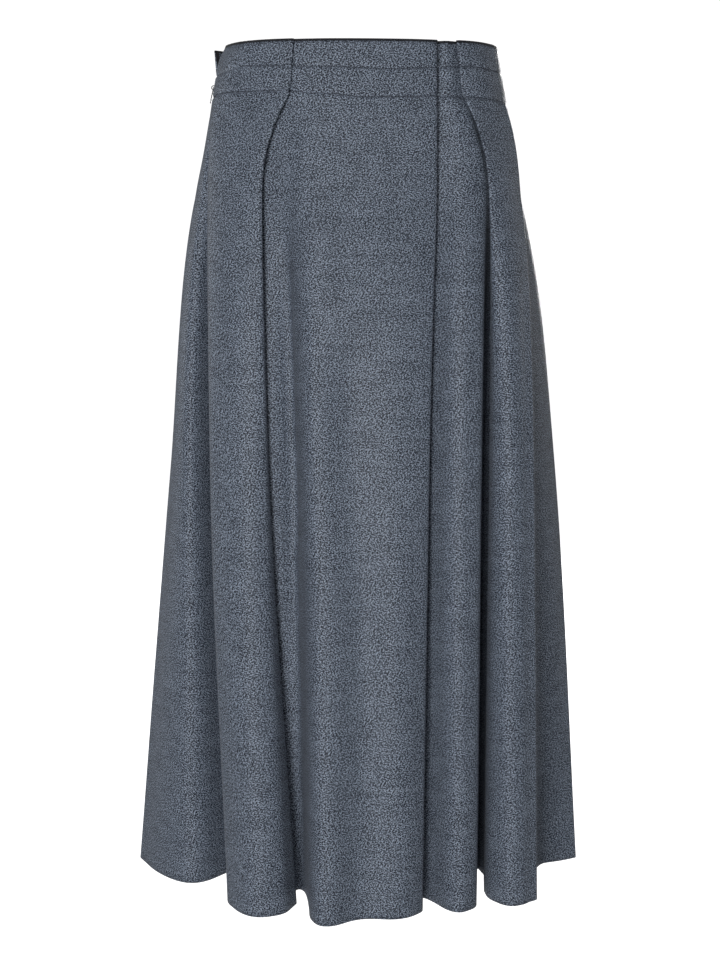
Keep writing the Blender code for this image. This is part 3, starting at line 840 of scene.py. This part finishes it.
def stitch_tree():
    """Beads of thread along a path, with the path's own outward direction in "out"."""
    tree = bpy.data.node_groups.new("row_of_stitches", "GeometryNodeTree")
    face = tree.interface
    face.new_socket("Path", in_out="INPUT", socket_type="NodeSocketGeometry")
    for label in STITCH_SIZES:
        face.new_socket(label, in_out="INPUT", socket_type="NodeSocketFloat")
    face.new_socket("Seed", in_out="INPUT", socket_type="NodeSocketInt")
    face.new_socket("Thread", in_out="INPUT", socket_type="NodeSocketMaterial")
    face.new_socket("Stitches", in_out="OUTPUT", socket_type="NodeSocketGeometry")
    w = Wiring(tree)
    entry = tree.nodes.new("NodeGroupInput").outputs
    leave = tree.nodes.new("NodeGroupOutput")
    path = w.node("GeometryNodeMeshToCurve", Mesh=entry["Path"]).outputs["Curve"]
    even = w.node(
        "GeometryNodeResampleCurve", {"mode": "LENGTH"}, Curve=path, Length=entry["Pitch"]
    )
    along = w.node("GeometryNodeInputTangent").outputs["Tangent"]
    out = w.node("GeometryNodeInputNamedAttribute", {"data_type": "FLOAT_VECTOR"}, Name="out")
    lying = w.node(
        "FunctionNodeAxesToRotation", {"primary_axis": "Z", "secondary_axis": "X"},
        Primary_Axis=out.outputs["Attribute"], Secondary_Axis=along,
    ).outputs["Rotation"]
    vary = tree.nodes.new("FunctionNodeRandomValue")
    vary.inputs[2].default_value = -1.0
    vary.inputs[3].default_value = 1.0
    tree.links.new(entry["Seed"], vary.inputs["Seed"])
    uneven = w.math("MULTIPLY", vary.outputs[1], entry["Unevenness"])
    slant = w.math("MULTIPLY", w.math("ADD", uneven, 1.0), entry["Slant"])
    turn = w.node("FunctionNodeAxisAngleToRotation", Axis=(0.0, 0.0, 1.0), Angle=slant)
    turned = w.node(
        "FunctionNodeRotateRotation", {"rotation_space": "LOCAL"},
        Rotation=lying, Rotate_By=turn.outputs["Rotation"],
    ).outputs["Rotation"]
    longer = w.math("ADD", w.math("MULTIPLY", uneven, 0.5), 1.0)
    size = w.node(
        "ShaderNodeCombineXYZ", X=w.math("MULTIPLY", entry["Bead Length"], longer),
        Y=entry["Bead Width"], Z=entry["Bead Height"],
    ).outputs["Vector"]
    bead = w.node("GeometryNodeMeshUVSphere", Segments=6, Rings=5, Radius=0.5).outputs["Mesh"]
    laid = w.node(
        "GeometryNodeInstanceOnPoints", Points=even.outputs["Curve"], Instance=bead,
        Rotation=turned, Scale=size,
    ).outputs["Instances"]
    real = w.node("GeometryNodeRealizeInstances", Geometry=laid).outputs["Geometry"]
    done = w.node("GeometryNodeSetMaterial", Geometry=real, Material=entry["Thread"])
    tree.links.new(done.outputs["Geometry"], leave.inputs["Stitches"])
    return tree


STITCHES = stitch_tree()
print("tree", STITCHES.name, "with", len(STITCHES.nodes), "nodes")

# %% [markdown]
# The tree is run once on a set of paths, and the beads it makes are kept as a plain mesh.

# %% Laying stitches
def lay_stitches(name, paths, thread, slot, seed, **sizes):
    """One piece with a bead at every step of these paths of (places, outward directions)."""
    mesh = bpy.data.meshes.new(name)
    edges, start = [], 0
    for places, _ in paths:
        edges.extend((i, i + 1) for i in range(start, start + len(places) - 1))
        start += len(places)
    mesh.from_pydata((np.concatenate([p for p, _ in paths]) * MM).tolist(), edges, [])
    outs = mesh.attributes.new("out", "FLOAT_VECTOR", "POINT")
    outs.data.foreach_set("vector", np.concatenate([d for _, d in paths]).ravel())
    piece = bpy.data.objects.new(name, mesh)
    laying = piece.modifiers.new("Stitches", "NODES")
    laying.node_group = STITCHES
    sockets = {item.name: item.identifier for item in STITCHES.interface.items_tree}
    for label, value in {**STITCH_SIZES, **sizes}.items():
        unit = {"Slant": math.radians(1), "Unevenness": 1.0}.get(label, MM)
        laying[sockets[label]] = value * unit
    laying[sockets["Seed"]] = seed
    laying[sockets["Thread"]] = thread
    bpy.context.scene.collection.objects.link(piece)
    graph = bpy.context.evaluated_depsgraph_get()
    solid = bpy.data.meshes.new_from_object(piece.evaluated_get(graph))
    piece.modifiers.clear()
    piece.data = solid
    solid.materials.clear()
    solid.materials.append(thread)
    solid.polygons.foreach_set("material_index", np.zeros(len(solid.polygons), np.int32))
    solid.shade_smooth()
    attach(piece, "skirt")
    print(name, triangles(piece), "triangles")
    return piece


# %% [markdown]
# The rows run only where an outer layer of the cloth lies. The path is found on the shaped cloth
# itself: each column of the grid is followed down to the row's height there. In a few places the
# thread has sunk so deep into the nap that only the dip shows, so the row is left out.

# %% Rows of stitches
THREAD_LIFT = 0.80
ROW_X_DEPTH = 40.0  # a column of the grid is placed along the row by where it is at this depth
LONGEST_STEP = 12.0  # a longer step between places starts a new path
FRONT_STRETCHES = (
    ("zip seam", "left edge"), ("left underlay", "centre edge"), ("billow start", "billow end"),
    ("right edge", "right seam"),
)
BACK_STRETCHES = (
    ("right seam", "right edge"), ("right centre edge", "left centre edge"),
    ("left edge", "zip seam"),
)
SUNKEN = {"upper": (-150.0, -112.0), "lower": (-52.0, -26.0)}


def sewing_thread():
    """Dark blue-black thread, twisted."""
    made, shader, w = new_material("sewing_thread", 0.6, specular=0.3)
    place = w.node("ShaderNodeTexCoord").outputs["Object"]
    twist = w.noise(w.stretched(place, (1.0, 1.0, 2.5), 0.6), 1500.0, 2.0)
    shade = w.ramp(twist, ((0.35, (0.004, 0.005, 0.009)), (0.65, (0.022, 0.026, 0.038))))
    w.tree.links.new(shade, shader.inputs["Base Color"])
    bump = w.node("ShaderNodeBump", Strength=0.4, Distance=0.0001, Height=twist)
    w.tree.links.new(bump.outputs["Normal"], shader.inputs["Normal"])
    return made


THREAD = sewing_thread()


def stitched_paths(points, marks, names, stretches, sunken):
    """The rows' paths on the outside of the cloth, one for each stretch."""
    out = outward(points)
    paths = []
    for row in STITCH_ROWS:
        low, high = sunken.get(row, (0.0, 0.0))
        for first, last in stretches:
            ends = names.index(first) + 1, names.index(last) + 1
            places, directions = [], []
            for column in np.flatnonzero((marks >= ends[0]) & (marks <= ends[1])):
                down = -points[:, column, 2]
                height = row_height(row, np.interp(ROW_X_DEPTH, down, points[:, column, 0]))
                place = [np.interp(-height, down, points[:, column, k]) for k in range(3)]
                if low < place[0] < high:
                    continue
                facing = [np.interp(-height, down, out[:, column, k]) for k in range(3)]
                direction = np.array(facing) / np.linalg.norm(facing)
                places.append(np.array(place) + direction * THREAD_LIFT)
                directions.append(direction)
            gaps = np.linalg.norm(np.diff(places, axis=0), axis=1)
            for run in np.split(np.arange(len(places)), np.flatnonzero(gaps > LONGEST_STEP) + 1):
                if len(run) > 2:
                    paths.append((np.array(places)[run], np.array(directions)[run]))
    return paths


front_paths = stitched_paths(front_points, front_marks, FRONT_NAMES, FRONT_STRETCHES, SUNKEN)
back_paths = stitched_paths(back_points, back_marks, BACK_NAMES, BACK_STRETCHES, {})
lay_stitches("front_stitches", front_paths, THREAD, "cloth", 4)
lay_stitches("back_stitches", back_paths, THREAD, "cloth", 9)

# %% [markdown]
# Each side seam's allowances are pressed open inside. They close the hair-thin joint between the
# front and the back, which would otherwise let light through. Along the zip its own tape does that.

# %% Seam allowances
ALLOWANCE_INSET = 1.4
ALLOWANCE_THICKNESS = 0.7
ALLOWANCE_ACROSS = np.linspace(-2.6, 2.6, 5)

for name, seam, side, top, column in (
    ("right_allowance", "right seam", 1, -3.0, -1), ("left_allowance", "zip seam", -1, -213.0, 0)
):
    levels = np.linspace(top, front_points[-1, column, 2] + 1.5, 60)
    middle = fold_curve(FRONT_FOLDS[seam], levels)
    across = np.zeros((len(levels), len(ALLOWANCE_ACROSS), 3))
    across[:, :, 0] = middle[:, :1] - side * ALLOWANCE_INSET
    across[:, :, 1] = middle[:, 1:] + side * ALLOWANCE_ACROSS
    across[:, :, 2] = levels[:, None]
    piece = walled(add_piece(name, grid_mesh(name, across, 2), FLANNEL), ALLOWANCE_THICKNESS)
    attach(piece, "skirt")
    print(name, "from", top, "to", round(levels[-1]), "mm")

# %% [markdown]
# The zip is a concealed one: two tapes inside the seam with a fine nylon coil on their edges. Above
# the slider it is open, so each tape lies along its own raw edge there and its coil just shows in
# the notch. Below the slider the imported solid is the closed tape, and the coil runs down its
# inner face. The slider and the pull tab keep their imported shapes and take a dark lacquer.

# %% The zip's tapes and coil
TAPE_REACH = 3.6
TAPE_INSET = 1.35
OPEN_TAPE_THICKNESS = 0.6
COIL = {
    "Pitch": 1.25, "Bead Length": 2.4, "Bead Width": 0.75, "Bead Height": 0.8, "Slant": 90.0,
    "Unevenness": 0.02,
}
COIL_LIFT = 0.5
COIL_SEED = 2
SEAM_TO_COIL = 3.15
CLOSED_HEIGHTS = np.linspace(-(OPEN_LENGTH + 6), -206, 60)


def inside_strip(points, from_end):
    """A strip inside the cloth along the opening's edge, from its top to the slider."""
    rows = points[:, 0, 2] > -(OPEN_LENGTH + 3)
    grid, inward = points[rows], -outward(points)[rows]
    if from_end:
        grid, inward = grid[:, ::-1], inward[:, ::-1]
    lengths = arc_lengths(grid)
    wanted = np.linspace(0.4, TAPE_REACH, 4)
    found = np.zeros((len(grid), len(wanted), 3))
    for k in range(len(grid)):
        for axis in range(3):
            found[k, :, axis] = np.interp(wanted, lengths[k], grid[k, :, axis])
            found[k, :, axis] += TAPE_INSET * np.interp(wanted, lengths[k], inward[k, :, axis])
    return found[:, ::-1] if from_end else found


def lacquered(name, base, worn, roughness):
    """Dark coated metal or nylon, rubbed paler in small patches."""
    made, shader, w = new_material(name, roughness, metallic=0.35, specular=0.35)
    place = w.node("ShaderNodeTexCoord").outputs["Object"]
    rubbed = w.noise(place, 700.0, 4.0, 0.65)
    scratches = w.noise(w.stretched(place, (1.0, 1.0, 0.12)), 3200.0, 2.0)
    mask = w.ramp(rubbed, ((0.52, (0.0, 0.0, 0.0)), (0.70, (1.0, 1.0, 1.0))))
    colour = w.mix(mask, base, worn)
    w.tree.links.new(colour, shader.inputs["Base Color"])
    rough = w.math("ADD", w.math("MULTIPLY", scratches, 0.35), roughness - 0.15, clamp=True)
    w.tree.links.new(rough, shader.inputs["Roughness"])
    bump = w.node("ShaderNodeBump", Strength=0.25, Distance=0.0001, Height=scratches)
    w.tree.links.new(bump.outputs["Normal"], shader.inputs["Normal"])
    return made


ZIP_METAL = lacquered("zip_lacquer", (0.012, 0.012, 0.015), (0.075, 0.072, 0.070), 0.42)
COIL_NYLON = lacquered("coil_nylon", (0.010, 0.010, 0.013), (0.030, 0.030, 0.034), 0.5)

coil_paths = []
for side, points, from_end in (("front", front_points, False), ("back", back_points, True)):
    tape_points = inside_strip(points, from_end)
    strip(f"{side}_zip_end", tape_points, OPEN_TAPE_THICKNESS, ZIP_CLOTH)
    edge = tape_points[:, -1 if from_end else 0]
    facing = -outward(tape_points)[:, -1 if from_end else 0]
    coil_paths.append((edge + COIL_LIFT * facing, facing))

closed = fold_curve(FRONT_FOLDS["zip seam"], CLOSED_HEIGHTS)
closed = np.column_stack([closed[:, 0] + SEAM_TO_COIL, closed[:, 1], CLOSED_HEIGHTS])
coil_paths.append((closed, np.tile((1.0, 0.0, 0.0), (len(closed), 1))))
lay_stitches("zip_coil", coil_paths, COIL_NYLON, "edge_tape", COIL_SEED, **COIL)

for node, finish in (
    ("zip_tape", ZIP_NODE_CLOTH), ("zip_slider", ZIP_METAL), ("zip_pull_tab", ZIP_METAL)
):
    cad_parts[node].material_slots[0].material = finish
    print(node, "takes", finish.name)

# %% [markdown]
# The room is a plain white studio. A broad soft light stands in front, a little to the left, so
# the pressed edges cast narrow shadows to their right, and a weak low one stands in for light off
# the floor. A second broad light serves the back, two weaker ones the sides, and a weak one hangs
# above. Dim light from all round keeps the folds from going black, while the camera sees plain
# white.

# %% Room and lights
FLOOR_LEVEL = -1.05
FLOOR_SIZE = 60.0
ROOM_LIGHT = 0.12  # what the surroundings give to the cloth
WALL_SEEN = 1.05  # how bright the camera sees them
AIM = Vector((0.0, 0.0, -0.42))
WHITE = (1.0, 1.0, 1.0)
WARM_WHITE = (1.0, 0.995, 0.99)
LIGHTS = (  # name, place, width, power, colour
    ("key", (-0.62, -3.15, -0.1), 1.0, 70.0, WARM_WHITE),
    ("bounce", (0.0, -1.9, -0.98), 0.9, 4.5, WHITE),
    ("back key", (0.8, 3.1, 0.1), 1.2, 75.0, WARM_WHITE),
    ("right side", (3.0, 1.5, 0.1), 1.2, 16.0, WHITE),
    ("left side", (-3.0, 1.3, 0.1), 1.2, 22.0, WHITE),
    ("top", (-0.3, -0.9, 2.2), 1.8, 6.0, WHITE),
)


def studio():
    """The floor, the lights and the white surroundings."""
    paper, shader, w = new_material("studio_paper", 0.9, specular=0.2)
    grain = w.noise(w.node("ShaderNodeTexCoord").outputs["Object"], 40.0, 3.0)
    tint = w.ramp(grain, ((0.3, (0.40, 0.40, 0.40)), (0.7, (0.42, 0.42, 0.42))))
    w.tree.links.new(tint, shader.inputs["Base Color"])
    shader.inputs["Emission Color"].default_value = (1, 1, 1, 1)
    seen = w.node("ShaderNodeLightPath").outputs["Is Camera Ray"]
    w.tree.links.new(seen, shader.inputs["Emission Strength"])
    mesh = bpy.data.meshes.new("studio_floor")
    corners = [(x * FLOOR_SIZE, y * FLOOR_SIZE) for x, y in ((-1, -1), (1, -1), (1, 1), (-1, 1))]
    mesh.from_pydata([(x, y, FLOOR_LEVEL) for x, y in corners], [], [(0, 1, 2, 3)])
    floor = add_piece("studio_floor", mesh, paper)

    for name, place, width, power, colour in LIGHTS:
        data = bpy.data.lights.new(name, "AREA")
        data.shape = "DISK"
        data.size = width
        data.energy = power
        data.color = colour
        lamp = bpy.data.objects.new(name, data)
        lamp.location = place
        lamp.rotation_euler = (AIM - Vector(place)).to_track_quat("-Z", "Y").to_euler()
        lamp.visible_camera = False
        bpy.context.scene.collection.objects.link(lamp)

    world = bpy.data.worlds.new("white_room")
    bpy.context.scene.world = world
    world.use_nodes = True
    nodes, links = world.node_tree.nodes, world.node_tree.links
    nodes.clear()
    room = nodes.new("ShaderNodeBackground")
    room.inputs["Strength"].default_value = ROOM_LIGHT
    wall = nodes.new("ShaderNodeBackground")
    wall.inputs["Strength"].default_value = WALL_SEEN
    for node in (room, wall):
        node.inputs["Color"].default_value = (*WHITE, 1)
    rays = nodes.new("ShaderNodeLightPath")
    choose = nodes.new("ShaderNodeMixShader")
    out = nodes.new("ShaderNodeOutputWorld")
    links.new(rays.outputs["Is Camera Ray"], choose.inputs["Fac"])
    links.new(room.outputs["Background"], choose.inputs[1])
    links.new(wall.outputs["Background"], choose.inputs[2])
    links.new(choose.outputs["Shader"], out.inputs["Surface"])


studio()
bpy.context.scene.view_settings.view_transform = "Standard"
print("floor at", FLOOR_LEVEL, "m")
